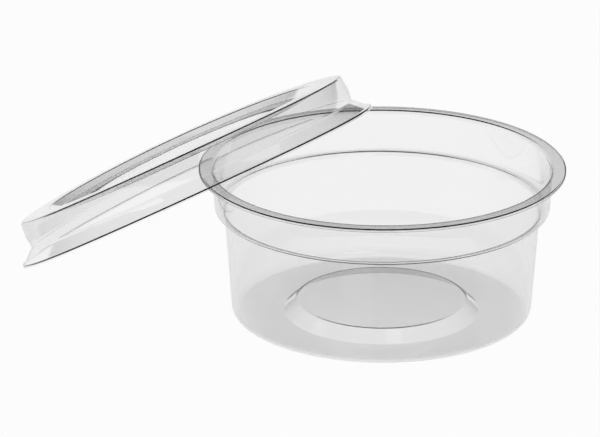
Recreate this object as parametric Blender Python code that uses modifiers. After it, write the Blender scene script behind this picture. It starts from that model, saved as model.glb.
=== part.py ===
"""Clear round tub for go stones, with its lift-off lid leaning on the rim.

Both pieces are drawn from one thin clear sheet.  Each is a turned shell: an
open outer surface, spun about its own axis and thickened inwards.  The tub
stands on the ring under its floor.  The lid has one point of its lip on the
same surface, and its sunk panel lies against the outer edge of the tub's rim.

Frame: +Z up, z = 0 on the surface both pieces stand on, X along the direction
in which the lid leans, origin in the middle of the pair's footprint box.
All sizes are in metres.
"""

import math

import bpy

OBJECT_NAME = "go_stone_bowl"

# Sheet and fits
SHEET = 0.0005  # thickness of the tub's and the lid's sheet
CONTACT_GAP = 0.0003  # air left where the lid's panel lies on the rim
SKIRT_CLEARANCE = 0.0002  # lid skirt's bore outside the rim, per side
SNAP_UNDERCUT = 0.0005  # lid waist's bore inside the rim, per side

# Tub, outer side of the sheet
TUB_HEIGHT = 0.0490
RIM_RADIUS = 0.0585
FLANGE_WIDTH = 0.0044
BAND_DEPTH = 0.0137  # straight band between flange and step
BAND_DRAFT = 0.0005  # how far the band draws in over its depth
STEP_WIDTH = 0.0031  # inward step under the band
WALL_DRAFT_DEG = 4.0
BASE_FILLET = 0.0028
FLANGE_FILLET = 0.0008
STEP_FILLET = 0.0010
PLATFORM_HEIGHT = 0.0037  # raised middle of the floor
PLATFORM_RADIUS = 0.0270  # flat top of the raised middle
PLATFORM_FLANK = 0.0042  # plan width of its sloping flank
PLATFORM_FILLET = 0.0012

# Lid, outer side of the sheet, heights from the lip's underside
LID_HEIGHT = 0.0137
LIP_OVERHANG = 0.0035  # lip beyond the skirt's widest bulge
LIP_FLAT = 0.0003  # level end of the lip
FLARE_FILLET = 0.0034
WAIST_HEIGHT = 0.0042
WAIST_FILLET = 0.0008
BULGE_HEIGHT = 0.0082
SKIRT_DRAFT = 0.0009  # how far the skirt draws in from bulge to corner
CORNER_FILLET = 0.0025
RECESS_RADIUS = 0.0474  # upper edge of the sunk panel
RECESS_DEPTH = 0.0014
RECESS_FLANK = 0.0030  # plan width of the panel's sloping flank
RECESS_FILLET = 0.0008

# Pose of the lid
LEAN_DEG = 28.6

# Facets
AROUND = 64  # even, so that a vertex faces both ways along X
ARC_STEP_DEG = 26.0

# Sizes that follow from the ones above
SKIRT_RADIUS = RIM_RADIUS + SKIRT_CLEARANCE + SHEET  # outer side, at the bulge
WAIST_RADIUS = RIM_RADIUS - SNAP_UNDERCUT + SHEET
LIP_RADIUS = SKIRT_RADIUS + LIP_OVERHANG
PANEL_UNDERSIDE = LID_HEIGHT - RECESS_DEPTH - SHEET


def rounded(corners):
    """Turn (radius, height, fillet) corners into a profile with arcs at the corners.

    A fillet is cut down where a short side next to it can't hold it.
    """
    points = []
    for index, (x, z, fillet) in enumerate(corners):
        if fillet <= 0.0 or index in (0, len(corners) - 1):
            points.append((x, z))
            continue
        before, after = corners[index - 1], corners[index + 1]
        ax, az = before[0] - x, before[1] - z
        bx, bz = after[0] - x, after[1] - z
        a_length, b_length = math.hypot(ax, az), math.hypot(bx, bz)
        ax, az, bx, bz = ax / a_length, az / a_length, bx / b_length, bz / b_length
        corner_angle = math.acos(max(-1.0, min(1.0, ax * bx + az * bz)))
        half = math.tan(corner_angle / 2.0)
        a_room = a_length * (0.5 if before[2] > 0.0 else 1.0)
        b_room = b_length * (0.5 if after[2] > 0.0 else 1.0)
        reach = min(fillet / half, 0.98 * a_room, 0.98 * b_room)
        radius = reach * half
        to_centre = math.hypot(reach, radius)
        mid_x, mid_z = ax + bx, az + bz
        mid_length = math.hypot(mid_x, mid_z)
        cx = x + mid_x / mid_length * to_centre
        cz = z + mid_z / mid_length * to_centre
        start = math.atan2(z + az * reach - cz, x + ax * reach - cx)
        end = math.atan2(z + bz * reach - cz, x + bx * reach - cx)
        sweep = (end - start + math.pi) % (2.0 * math.pi) - math.pi
        steps = max(1, math.ceil(abs(math.degrees(sweep)) / ARC_STEP_DEG))
        for step in range(steps + 1):
            angle = start + sweep * step / steps
            points.append((cx + radius * math.cos(angle), cz + radius * math.sin(angle)))
    return points


def tub_profile():
    """Outer side of the tub's sheet, from the flange's edge down to the floor's middle."""
    flange_z = TUB_HEIGHT - SHEET
    band_radius = RIM_RADIUS - FLANGE_WIDTH
    step_z = TUB_HEIGHT - BAND_DEPTH
    step_radius = band_radius - BAND_DRAFT
    wall_radius = step_radius - STEP_WIDTH
    base_radius = wall_radius - step_z * math.tan(math.radians(WALL_DRAFT_DEG))
    return rounded([
        (RIM_RADIUS, flange_z, 0.0),
        (band_radius, flange_z, FLANGE_FILLET),
        (step_radius, step_z, STEP_FILLET),
        (wall_radius, step_z, STEP_FILLET),
        (base_radius, 0.0, BASE_FILLET),
        (PLATFORM_RADIUS + PLATFORM_FLANK, 0.0, PLATFORM_FILLET),
        (PLATFORM_RADIUS, PLATFORM_HEIGHT, PLATFORM_FILLET),
        (0.0, PLATFORM_HEIGHT, 0.0),
    ])


def lid_profile():
    """Outer side of the lid's sheet, from the panel's middle out and down to the lip."""
    panel_z = LID_HEIGHT - RECESS_DEPTH
    return rounded([
        (0.0, panel_z, 0.0),
        (RECESS_RADIUS - RECESS_FLANK, panel_z, RECESS_FILLET),
        (RECESS_RADIUS, LID_HEIGHT, RECESS_FILLET),
        (SKIRT_RADIUS - SKIRT_DRAFT, LID_HEIGHT, CORNER_FILLET),
        (SKIRT_RADIUS, BULGE_HEIGHT, 0.0),
        (WAIST_RADIUS, WAIST_HEIGHT, WAIST_FILLET),
        (LIP_RADIUS - LIP_FLAT, SHEET, FLARE_FILLET),
        (LIP_RADIUS, SHEET, 0.0),
    ])


def clear_sheet_material(name, tint):
    """Clear colourless plastic sheet."""
    material = bpy.data.materials.new(name)
    material.use_nodes = True
    shader = material.node_tree.nodes["Principled BSDF"]
    shader.inputs["Base Color"].default_value = tint
    shader.inputs["Metallic"].default_value = 0.0
    shader.inputs["Roughness"].default_value = 0.05
    shader.inputs["IOR"].default_value = 1.57
    shader.inputs["Transmission Weight"].default_value = 1.0
    material.diffuse_color = (tint[0], tint[1], tint[2], 0.35)
    return material


def turned_shell(name, profile, material, collection):
    """Spin a profile about Z into an open surface and thicken it inwards."""
    mesh = bpy.data.meshes.new(name)
    vertices = [(radius, 0.0, height) for radius, height in profile]
    edges = [(index, index + 1) for index in range(len(vertices) - 1)]
    mesh.from_pydata(vertices, edges, [])
    mesh.materials.append(material)
    shell = bpy.data.objects.new(name, mesh)
    collection.objects.link(shell)

    spin = shell.modifiers.new("Turn", "SCREW")
    spin.axis = "Z"
    spin.angle = 2.0 * math.pi
    spin.steps = AROUND
    spin.render_steps = AROUND
    spin.use_merge_vertices = True
    spin.merge_threshold = 0.00001
    spin.use_smooth_shade = True

    wall = shell.modifiers.new("Sheet", "SOLIDIFY")
    wall.thickness = SHEET
    wall.offset = -1.0
    wall.use_even_offset = True
    return shell


def leaning_place(profile):
    """Place of the leaning lid relative to the tub's axis, and its reach past its own centre.

    The lip's lowest point is on z = 0, and the panel's underside passes
    CONTACT_GAP above the rim's upper outer edge.
    """
    lean = math.radians(LEAN_DEG)
    centre_z = LIP_RADIUS * math.sin(lean)
    rise = (TUB_HEIGHT - centre_z) * math.cos(lean)
    offset = RIM_RADIUS + (rise - PANEL_UNDERSIDE + CONTACT_GAP) / math.sin(lean)
    reach = max(r * math.cos(lean) + z * math.sin(lean) for r, z in profile)
    return offset, centre_z, reach


def main():
    for item in list(bpy.data.objects):
        bpy.data.objects.remove(item, do_unlink=True)

    collection = bpy.data.collections.new(OBJECT_NAME)
    bpy.context.scene.collection.children.link(collection)

    outline = lid_profile()
    offset, centre_z, reach = leaning_place(outline)
    tub_x = (offset + reach - RIM_RADIUS) / 2.0

    tub_sheet = clear_sheet_material("tub_clear", (0.93, 0.95, 0.96, 1.0))
    tub = turned_shell("tub", tub_profile(), tub_sheet, collection)
    tub.location = (tub_x, 0.0, 0.0)

    lift = bpy.data.objects.new("lid_lift", None)
    lift.empty_display_size = 0.02
    lift.location = (tub_x - offset, 0.0, centre_z)
    collection.objects.link(lift)

    lid_sheet = clear_sheet_material("lid_clear", (0.94, 0.96, 0.97, 1.0))
    lid = turned_shell("lid", outline, lid_sheet, collection)
    lid.parent = lift
    lid.rotation_euler = (0.0, -math.radians(LEAN_DEG), 0.0)


main()
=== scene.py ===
"""Looks of a clear round go stone tub with its lid leaning on the rim.

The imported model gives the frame: where the tub stands and where the lid leans.
Each piece is rebuilt here as one fine turned shell of thin clear sheet, dressed
in a clear plastic finish, and set in a plain white studio.
"""

import logging
import math
from dataclasses import dataclass, field
from enum import Enum
from typing import Dict, List, Optional, Sequence, Tuple

import bpy
from mathutils import Matrix, Vector


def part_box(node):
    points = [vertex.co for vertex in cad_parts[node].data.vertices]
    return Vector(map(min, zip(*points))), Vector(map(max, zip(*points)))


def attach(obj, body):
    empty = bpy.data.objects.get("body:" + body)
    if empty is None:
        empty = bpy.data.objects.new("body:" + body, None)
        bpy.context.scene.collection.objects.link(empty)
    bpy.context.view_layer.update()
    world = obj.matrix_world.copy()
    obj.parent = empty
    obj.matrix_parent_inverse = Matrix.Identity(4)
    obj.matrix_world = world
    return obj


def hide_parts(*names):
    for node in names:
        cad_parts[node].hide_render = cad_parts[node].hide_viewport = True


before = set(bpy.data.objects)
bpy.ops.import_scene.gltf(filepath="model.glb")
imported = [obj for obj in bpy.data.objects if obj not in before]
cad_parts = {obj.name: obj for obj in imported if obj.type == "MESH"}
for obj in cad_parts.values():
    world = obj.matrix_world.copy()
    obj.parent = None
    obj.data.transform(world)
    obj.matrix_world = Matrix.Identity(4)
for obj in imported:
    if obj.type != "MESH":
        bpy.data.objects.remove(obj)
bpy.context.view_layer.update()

log = logging.getLogger("go_stone_bowl")

Colour = Tuple[float, float, float, float]
Point = Tuple[float, float]

MM = 0.001
AXIS_TOLERANCE = 1e-6  # a smaller radius, in mm, is on the axis
LEAN_DEG = 28.6  # how far the lid leans from level
SHARP_DEG = 50.0  # a steeper fold is shaded as an edge


class Slot(Enum):
    """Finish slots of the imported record."""

    TUB = "tub_clear"
    LID = "lid_clear"


class Body(Enum):
    """Bodies that a piece can ride on."""

    TUB = "tub"
    LID = "lid"


def linear(hex_code: str) -> Colour:
    """Turn an sRGB hex code into linear RGBA.

    Args:
        hex_code: Six hex digits, with or without a leading #.

    Returns:
        Linear red, green and blue, with alpha 1.
    """
    digits = hex_code.lstrip("#")
    channels = []
    for start in (0, 2, 4):
        value = int(digits[start:start + 2], 16) / 255.0
        channels.append(value / 12.92 if value <= 0.04045 else ((value + 0.055) / 1.055) ** 2.4)
    return (channels[0], channels[1], channels[2], 1.0)


def add_node(
    tree: bpy.types.NodeTree,
    kind: str,
    settings: Optional[Dict[str, object]] = None,
    inputs: Optional[Dict[object, object]] = None,
) -> bpy.types.Node:
    """Add a shader node, set it up and link what feeds it.

    Args:
        tree: The node tree to add to.
        kind: The node's type name.
        settings: Attributes to set on the node.
        inputs: Values or output sockets, by input name or index.

    Returns:
        The new node.
    """
    node = tree.nodes.new(kind)
    for name, value in (settings or {}).items():
        setattr(node, name, value)
    for name, value in (inputs or {}).items():
        if isinstance(value, bpy.types.NodeSocket):
            tree.links.new(value, node.inputs[name])
        else:
            node.inputs[name].default_value = value
    return node


@dataclass(frozen=True)
class ClearPetSheet:
    """Thermoformed clear PET sheet.

    Drawn hot over a mould, so it is glass-clear and glossy, with a faint slow
    waviness from uneven stretch. It takes a little light away along its depth,
    so that cut edges and tight bends look dark while the walls stay clear.
    """

    name: str
    tint: str = "ffffff"
    ior: float = 1.57  # PET
    roughness: float = 0.02
    absorption: float = 170.0  # per metre, chosen for the look
    wave_mm: float = 14.0  # spacing of the stretch waves
    wave_height_mm: float = 0.010

    def material(self) -> bpy.types.Material:
        """Make the node material.

        Returns:
            The material, ready for a mesh.
        """
        material = bpy.data.materials.new(self.name)
        material.use_nodes = True
        tree = material.node_tree
        tree.nodes.clear()
        place = add_node(tree, "ShaderNodeTexCoord")
        waves = add_node(tree, "ShaderNodeTexNoise", {"noise_dimensions": "3D"}, {
            "Vector": place.outputs["Object"],
            "Scale": 1.0 / (self.wave_mm * MM),
            "Detail": 2.0,
            "Roughness": 0.4,
        })
        bump = add_node(tree, "ShaderNodeBump", None, {
            "Height": waves.outputs["Fac"],
            "Distance": self.wave_height_mm * MM,
            "Strength": 1.0,
        })
        sheet = add_node(tree, "ShaderNodeBsdfPrincipled", None, {
            "Base Color": linear(self.tint),
            "Roughness": self.roughness,
            "IOR": self.ior,
            "Transmission Weight": 1.0,
            "Normal": bump.outputs["Normal"],
        })
        depth = add_node(tree, "ShaderNodeVolumeAbsorption", None, {
            "Color": linear("000000"),
            "Density": self.absorption,
        })
        add_node(tree, "ShaderNodeOutputMaterial", None, {
            "Surface": sheet.outputs["BSDF"],
            "Volume": depth.outputs["Volume"],
        })
        return material


@dataclass(frozen=True)
class WhiteSweep:
    """Self-lit white studio card.

    Nearly all its light is its own, so it shows no edge and hardly any shadow.
    """

    name: str = "white_sweep"
    colour: str = "404040"
    glow: float = 0.965

    def material(self) -> bpy.types.Material:
        """Make the node material.

        Returns:
            The material, ready for the floor.
        """
        material = bpy.data.materials.new(self.name)
        material.use_nodes = True
        tree = material.node_tree
        tree.nodes.clear()
        card = add_node(tree, "ShaderNodeBsdfPrincipled", None, {
            "Base Color": linear(self.colour),
            "Roughness": 0.9,
            "Specular IOR Level": 0.1,
            "Emission Color": linear("ffffff"),
            "Emission Strength": self.glow,
        })
        add_node(tree, "ShaderNodeOutputMaterial", None, {"Surface": card.outputs["BSDF"]})
        return material


@dataclass(frozen=True)
class Corner:
    """One corner of a turned outline: radius and height in mm, and the fillet that rounds it."""

    radius: float
    height: float
    fillet: float = 0.0


def rounded(corners: Sequence[Corner], step_deg: float = 7.0) -> List[Point]:
    """Round the corners of an outline with arcs.

    Args:
        corners: The outline's corners, in order.
        step_deg: Greatest turn between neighbouring points of an arc.

    Returns:
        The outline's points, as radius and height in mm.
    """
    points: List[Point] = []
    for index, corner in enumerate(corners):
        if corner.fillet <= 0.0 or index in (0, len(corners) - 1):
            points.append((corner.radius, corner.height))
            continue
        here = Vector((corner.radius, corner.height))
        before, after = corners[index - 1], corners[index + 1]
        back = Vector((before.radius, before.height)) - here
        ahead = Vector((after.radius, after.height)) - here
        half = math.tan(back.angle(ahead) / 2.0)
        room = min(
            back.length * (0.5 if before.fillet > 0.0 else 1.0),
            ahead.length * (0.5 if after.fillet > 0.0 else 1.0),
        )
        reach = min(corner.fillet / half, 0.98 * room)
        radius = reach * half
        back.normalize()
        ahead.normalize()
        centre = here + (back + ahead).normalized() * math.hypot(reach, radius)
        first = here + back * reach - centre
        last = here + ahead * reach - centre
        start = math.atan2(first.y, first.x)
        sweep = (math.atan2(last.y, last.x) - start + math.pi) % (2.0 * math.pi) - math.pi
        steps = max(2, math.ceil(abs(math.degrees(sweep)) / step_deg))
        for step in range(steps + 1):
            angle = start + sweep * step / steps
            points.append((
                centre.x + radius * math.cos(angle), centre.y + radius * math.sin(angle),
            ))
    return points


def offset_inwards(outline: Sequence[Point], thickness: float) -> List[Point]:
    """Move an outline to the other side of its sheet.

    Args:
        outline: Outer side, running from top to bottom down its outer face.
        thickness: Sheet thickness in mm.

    Returns:
        The inner side, point for point.
    """
    inner: List[Point] = []
    for index, (x, z) in enumerate(outline):
        normals = []
        for first, last in ((index - 1, index), (index, index + 1)):
            if first < 0 or last >= len(outline):
                continue
            along = Vector(outline[last]) - Vector(outline[first])
            normals.append(Vector((-along.y, along.x)).normalized())
        mean = sum(normals, Vector((0.0, 0.0))).normalized()
        spread = max(0.5, mean.dot(normals[0]))
        inner.append((max(0.0, x - mean.x * thickness / spread), z - mean.y * thickness / spread))
    return inner


@dataclass
class TurnedSheet:
    """A piece turned from one thin sheet: its sizes in mm, its mesh and its dress."""

    name: str
    node: str
    body: Body
    slot: Slot
    finish: ClearPetSheet
    place: Matrix
    floor: float
    sheet: float = 0.5
    edge_turn: float = 0.45  # how far the trimmed edge turns down
    edge_fillet: float = 0.1  # inside its bend
    around: int = 240

    def outline(self) -> List[Point]:
        """Give the sheet's outer side as radius and height in mm."""
        raise NotImplementedError

    def build(self) -> bpy.types.Object:
        """Turn the outline into a closed shell and dress it.

        Returns:
            The finished piece, riding on its body.
        """
        outer = self.outline()
        inner = offset_inwards(outer, self.sheet)
        loop = outer + inner[::-1]
        mesh = self.turned(loop)
        for vertex in mesh.vertices:
            vertex.co = self.settled(vertex.co)
        mesh.transform(self.place)
        lowest = min(vertex.co.z for vertex in mesh.vertices)
        mesh.transform(Matrix.Translation((0.0, 0.0, self.floor - lowest)))
        mesh.update()
        piece = bpy.data.objects.new(self.name, mesh)
        bpy.context.scene.collection.objects.link(piece)
        mesh.materials.append(self.finish.material())
        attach(piece, self.body.value)
        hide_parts(self.node)
        log.info("%s: %d faces", self.name, len(mesh.polygons))
        return piece

    def settled(self, point: Vector) -> Vector:
        """Give a point's place once the piece rests; a stiff piece keeps its shape."""
        return point

    def turned(self, loop: Sequence[Point]) -> bpy.types.Mesh:
        """Spin a closed outline whose sheet crosses the axis at one end.

        Args:
            loop: Outer side followed by the inner side backwards, in mm.

        Returns:
            A closed, smooth mesh in metres.
        """
        vertices: List[Tuple[float, float, float]] = []
        rings: List[List[int]] = []
        for radius, height in loop:
            if radius < AXIS_TOLERANCE:
                rings.append([len(vertices)])
                vertices.append((0.0, 0.0, height * MM))
                continue
            ring = []
            for step in range(self.around):
                angle = 2.0 * math.pi * step / self.around
                ring.append(len(vertices))
                vertices.append((
                    radius * MM * math.cos(angle), radius * MM * math.sin(angle), height * MM,
                ))
            rings.append(ring)
        faces: List[List[int]] = []
        for index in range(len(rings)):
            upper, lower = rings[index], rings[(index + 1) % len(rings)]
            if len(upper) == 1 and len(lower) == 1:
                continue
            for step in range(self.around):
                after = (step + 1) % self.around
                if len(upper) == 1:
                    faces.append([upper[0], lower[step], lower[after]])
                elif len(lower) == 1:
                    faces.append([upper[after], upper[step], lower[0]])
                else:
                    faces.append([upper[after], upper[step], lower[step], lower[after]])
        mesh = bpy.data.meshes.new(self.name)
        mesh.from_pydata(vertices, [], faces)
        mesh.validate()
        mesh.shade_smooth()
        mesh.set_sharp_from_angle(angle=math.radians(SHARP_DEG))
        mesh.update()
        return mesh


@dataclass
class Tub(TurnedSheet):
    """The tub: flange, upper band, step, tapered wall, standing ring and raised middle."""

    height: float = 49.0
    rim_radius: float = 58.5
    flange_width: float = 4.4
    flange_fillet: float = 0.8
    band_depth: float = 13.7
    band_draft: float = 0.5
    step_width: float = 3.1
    step_fillet: float = 1.0
    wall_draft_deg: float = 4.0
    base_fillet: float = 2.8
    platform_height: float = 3.7
    platform_radius: float = 27.0
    platform_flank: float = 4.2
    platform_fillet: float = 1.2

    def outline(self) -> List[Point]:
        """Give the outer side, from the flange's edge down to the floor's middle."""
        flange = self.height - self.sheet
        band = self.rim_radius - self.flange_width
        step = self.height - self.band_depth
        step_radius = band - self.band_draft
        wall = step_radius - self.step_width
        base = wall - step * math.tan(math.radians(self.wall_draft_deg))
        return rounded([
            Corner(self.rim_radius - self.sheet, flange - self.edge_turn),
            Corner(self.rim_radius - self.sheet, flange, self.edge_fillet),
            Corner(band, flange, self.flange_fillet),
            Corner(step_radius, step, self.step_fillet),
            Corner(wall, step, self.step_fillet),
            Corner(base, 0.0, self.base_fillet),
            Corner(self.platform_radius + self.platform_flank, 0.0, self.platform_fillet),
            Corner(self.platform_radius, self.platform_height, self.platform_fillet),
            Corner(0.0, self.platform_height),
        ])


@dataclass
class Lid(TurnedSheet):
    """The lid: sunk panel, top ring, skirt, waist and flared lip."""

    height: float = 13.4
    corner_radius: float = 57.5
    corner_fillet: float = 0.9
    bulge_radius: float = 58.0
    bulge_height: float = 8.2
    waist_radius: float = 57.5
    waist_height: float = 4.6
    waist_fillet: float = 0.8
    lip_radius: float = 62.7
    lip_flat: float = 0.9
    flare_fillet: float = 3.4
    recess_radius: float = 47.4
    recess_depth: float = 2.0
    recess_flank: float = 3.0
    recess_fillet: float = 0.8
    bow: float = 1.4  # how far the loose lid sags at bow_radius, across the line of the bow
    bow_radius: float = 58.0
    bow_deg: float = 33.4  # direction of the sag in the lid's own plane

    def outline(self) -> List[Point]:
        """Give the outer side, from the panel's middle out and down to the lip."""
        panel = self.height - self.recess_depth
        lip = self.sheet + self.edge_turn
        return rounded([
            Corner(0.0, panel),
            Corner(self.recess_radius - self.recess_flank, panel, self.recess_fillet),
            Corner(self.recess_radius, self.height, self.recess_fillet),
            Corner(self.corner_radius, self.height, self.corner_fillet),
            Corner(self.bulge_radius, self.bulge_height),
            Corner(self.waist_radius, self.waist_height, self.waist_fillet),
            Corner(self.lip_radius - self.lip_flat, lip, self.flare_fillet),
            Corner(self.lip_radius, lip, self.edge_fillet + self.sheet),
            Corner(self.lip_radius, 0.0),
        ])

    def settled(self, point: Vector) -> Vector:
        """Bow the thin lid slightly, as it sags on the rim and the floor."""
        turn = math.radians(self.bow_deg)
        along = (point.x * math.cos(turn) + point.y * math.sin(turn)) / (self.bow_radius * MM)
        return Vector((point.x, point.y, point.z - self.bow * MM * along ** 2))


@dataclass(frozen=True)
class Softbox:
    """A soft light: its direction from the object, its size in mm and its power in watts."""

    name: str
    azimuth_deg: float  # counter-clockwise from +X
    elevation_deg: float
    size: Tuple[float, float]
    watts: float


SOFTBOXES = (
    Softbox("overhead_softbox", 90.0, 80.0, (900.0, 900.0), 1.5),
    Softbox("left_softbox", 200.0, 35.0, (500.0, 700.0), 1.0),
    Softbox("right_softbox", -40.0, 35.0, (500.0, 700.0), 1.0),
)


@dataclass
class Studio:
    """White floor, weak soft lights, a dark room and the camera. Sizes in mm."""

    floor_size: float = 12000.0
    floor_gap: float = 0.2  # air under the object
    light_distance: float = 1300.0
    room_end: float = 0.05  # grey straight up
    room: Tuple[Tuple[float, float], ...] = ((0.03, 0.3), (0.07, 0.03), (0.5, 0.03), (0.8, 0.05))
    aim_height: float = 25.0  # up the tub's axis
    azimuth_deg: float = 29.5
    elevation_deg: float = 20.35
    distance: float = 1400.0
    lens: float = 262.4
    aim_right: float = -26.2  # from the tub's axis, across the view
    aim_up: float = 5.6  # from aim_height, up the view
    finish: WhiteSweep = field(default_factory=WhiteSweep)

    def floor(self, height: float) -> bpy.types.Object:
        """Lay the floor.

        Args:
            height: Height that the object stands at, in metres.

        Returns:
            The floor.
        """
        half = self.floor_size * MM / 2.0
        mesh = bpy.data.meshes.new("floor")
        mesh.from_pydata(
            [(-half, -half, 0.0), (half, -half, 0.0), (half, half, 0.0), (-half, half, 0.0)],
            [], [(0, 1, 2, 3)],
        )
        mesh.materials.append(self.finish.material())
        floor = bpy.data.objects.new("floor", mesh)
        floor.location.z = height - self.floor_gap * MM
        bpy.context.scene.collection.objects.link(floor)
        return floor

    def softbox(self, box: Softbox) -> bpy.types.Object:
        """Hang a soft light aimed at the object.

        Args:
            box: The light's sizes and place.

        Returns:
            The light.
        """
        lamp = bpy.data.lights.new(box.name, "AREA")
        lamp.shape = "RECTANGLE"
        lamp.size, lamp.size_y = box.size[0] * MM, box.size[1] * MM
        lamp.energy = box.watts
        light = bpy.data.objects.new(box.name, lamp)
        across, up = math.radians(box.azimuth_deg), math.radians(box.elevation_deg)
        towards = Vector((
            math.cos(across) * math.cos(up), math.sin(across) * math.cos(up), math.sin(up),
        ))
        light.location = towards * self.light_distance * MM
        light.rotation_mode = "QUATERNION"
        light.rotation_quaternion = towards.to_track_quat("Z", "Y")
        bpy.context.scene.collection.objects.link(light)
        return light

    def surroundings(self) -> bpy.types.World:
        """Paint the room: a thin bright band at the horizon, nearly black above.

        Returns:
            The world.
        """
        world = bpy.data.worlds.new("studio_room")
        world.use_nodes = True
        tree = world.node_tree
        tree.nodes.clear()
        place = add_node(tree, "ShaderNodeTexCoord")
        axes = add_node(tree, "ShaderNodeSeparateXYZ", None, {"Vector": place.outputs["Generated"]})
        ramp = add_node(tree, "ShaderNodeValToRGB", None, {"Fac": axes.outputs["Z"]})
        stops = ramp.color_ramp.elements
        stops[0].position, stops[0].color = 0.0, (1.0, 1.0, 1.0, 1.0)
        stops[1].position = 1.0
        stops[1].color = (self.room_end, self.room_end, self.room_end, 1.0)
        for position, grey in self.room:
            stop = stops.new(position)
            stop.color = (grey, grey, grey, 1.0)
        sky = add_node(tree, "ShaderNodeBackground", None, {
            "Color": ramp.outputs["Color"],
            "Strength": 1.0,
        })
        add_node(tree, "ShaderNodeOutputWorld", None, {"Surface": sky.outputs["Background"]})
        bpy.context.scene.world = world
        return world

    def camera(self, tub_x: float) -> bpy.types.Object:
        """Set up the camera.

        Args:
            tub_x: The tub axis's x, in metres.

        Returns:
            The camera, set as the scene's.
        """
        turn, rise = math.radians(self.azimuth_deg), math.radians(self.elevation_deg)
        look = Vector((
            -math.sin(turn) * math.cos(rise), math.cos(turn) * math.cos(rise), -math.sin(rise),
        ))
        right = Vector((math.cos(turn), math.sin(turn), 0.0))
        up = right.cross(look)
        aim = Vector((tub_x, 0.0, self.aim_height * MM))
        aim += right * self.aim_right * MM + up * self.aim_up * MM
        optics = bpy.data.cameras.new("camera")
        optics.lens = self.lens
        optics.sensor_width = 36.0
        optics.clip_start, optics.clip_end = 0.05, 100.0
        camera = bpy.data.objects.new("camera", optics)
        camera.location = aim - look * self.distance * MM
        camera.rotation_mode = "QUATERNION"
        camera.rotation_quaternion = look.to_track_quat("-Z", "Y")
        bpy.context.scene.collection.objects.link(camera)
        bpy.context.scene.camera = camera
        return camera

    def build(self, floor_height: float, tub_x: float) -> None:
        """Build the floor, the lights, the room and the camera.

        Args:
            floor_height: Height that the object stands at, in metres.
            tub_x: The tub axis's x, in metres.
        """
        self.floor(floor_height)
        for box in SOFTBOXES:
            self.softbox(box)
        self.surroundings()
        self.camera(tub_x)
        settings = bpy.context.scene.view_settings
        settings.view_transform = "Standard"
        settings.look = "None"
        log.info("studio ready")


def main() -> None:
    """Build the tub, the lid and the studio."""
    logging.basicConfig(level=logging.INFO)
    lean = math.radians(LEAN_DEG)
    tub_low, tub_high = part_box("tub")
    lid_low, lid_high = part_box("lid")
    tub_x = (tub_low.x + tub_high.x) / 2.0
    floor = min(tub_low.z, lid_low.z)
    tub = Tub(
        name="clear_tub", node="tub", body=Body.TUB, slot=Slot.TUB,
        finish=ClearPetSheet("clear_pet_tub"),
        place=Matrix.Translation((tub_x, 0.0, tub_low.z)),
        floor=floor,
    )
    lip = (lid_high.y - lid_low.y) / 2.0
    lid = Lid(
        name="clear_lid", node="lid", body=Body.LID, slot=Slot.LID,
        finish=ClearPetSheet("clear_pet_lid"),
        place=Matrix.Translation((
            lid_high.x - lip * math.cos(lean), 0.0, lid_low.z + lip * math.sin(lean),
        )) @ Matrix.Rotation(-lean, 4, "Y"),
        floor=floor,
    )
    tub.build()
    lid.build()
    Studio().build(floor, tub_x)


if __name__ == "__main__":
    main()
